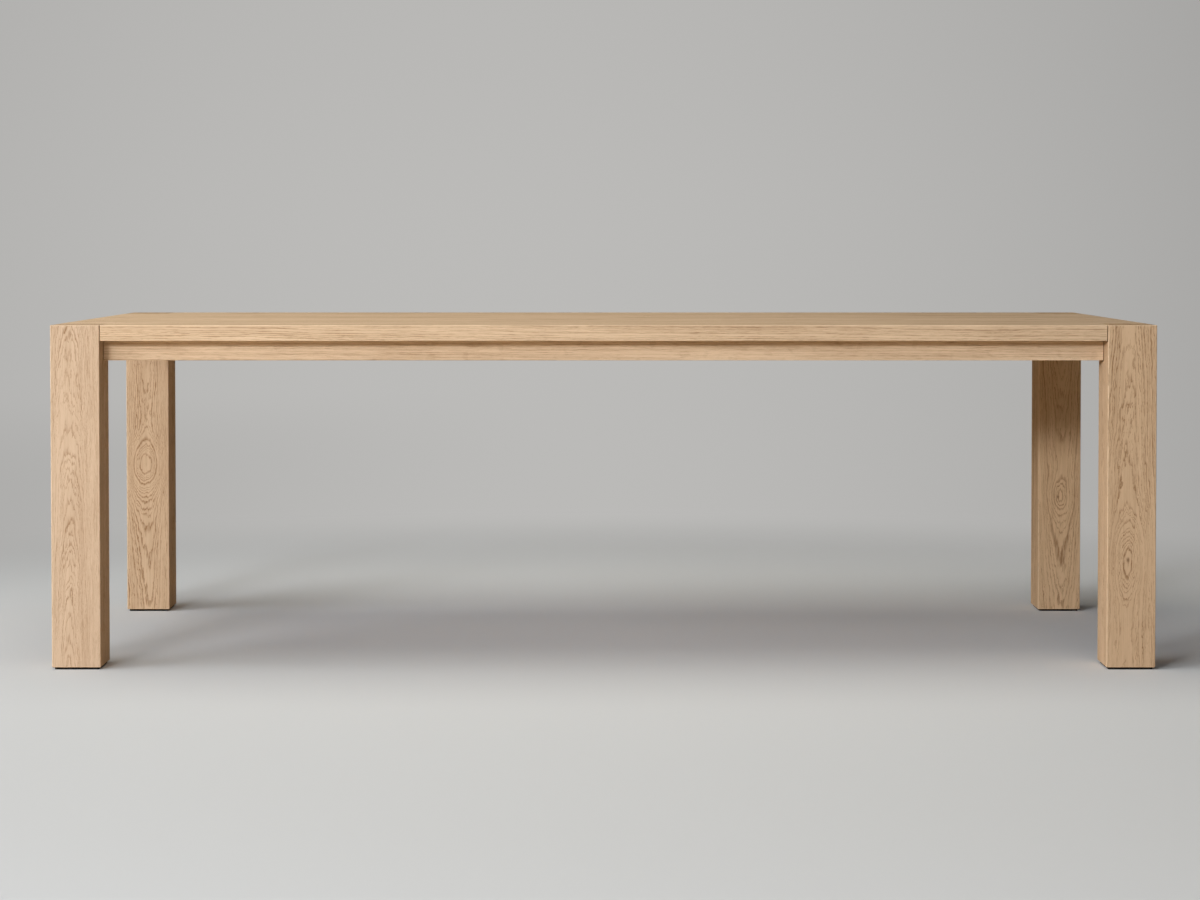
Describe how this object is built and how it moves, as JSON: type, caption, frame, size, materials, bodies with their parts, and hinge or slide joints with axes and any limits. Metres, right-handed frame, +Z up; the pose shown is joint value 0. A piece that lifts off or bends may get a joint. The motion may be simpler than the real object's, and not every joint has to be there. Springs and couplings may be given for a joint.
{
  "type": "dining table",
  "caption": "Free-standing rectangular dining table with square full-height corner legs, a slab top notched flush round them and low set-back aprons.",
  "frame": {"origin": "on the floor, below the middle of the tabletop", "axes": "+X along the table to the right seen from its front, +Y from front to back, +Z up"},
  "size_m": [2.438, 1.016, 0.762],
  "materials": {
    "top_oak": "matte oil on white oak, flat-sawn boards",
    "leg_oak": "matte oil on white oak posts",
    "frame_oak": "matte oil on white oak, straight grain",
    "joint_beech": "bare beech, hidden in the joints",
    "zinc_steel": "bright zinc plate",
    "black_felt": "pressed black felt"
  },
  "bodies": {
    "root": {"apron_back": "frame_oak", "apron_dowels": "joint_beech", "apron_front": "frame_oak", "apron_left": "frame_oak", "apron_right": "frame_oak", "bracket_screws": "zinc_steel", "clip_screws": "zinc_steel", "corner_bracket_back_left": "zinc_steel", "corner_bracket_back_right": "zinc_steel", "corner_bracket_front_left": "zinc_steel", "corner_bracket_front_right": "zinc_steel", "cross_rail_1": "frame_oak", "cross_rail_2": "frame_oak", "cross_rail_3": "frame_oak", "foot_pad_back_left": "black_felt", "foot_pad_back_right": "black_felt", "foot_pad_front_left": "black_felt", "foot_pad_front_right": "black_felt", "hanger_bolts": "zinc_steel", "leg_back_left": "leg_oak", "leg_back_right": "leg_oak", "leg_front_left": "leg_oak", "leg_front_right": "leg_oak", "nuts": "zinc_steel", "rail_screws": "zinc_steel", "top_board_1": "top_oak", "top_board_2": "top_oak", "top_board_3": "top_oak", "top_board_4": "top_oak", "top_board_5": "top_oak", "top_board_6": "top_oak", "top_clips": "zinc_steel", "top_splines": "joint_beech", "washers": "zinc_steel"}
  },
  "joints": []
}
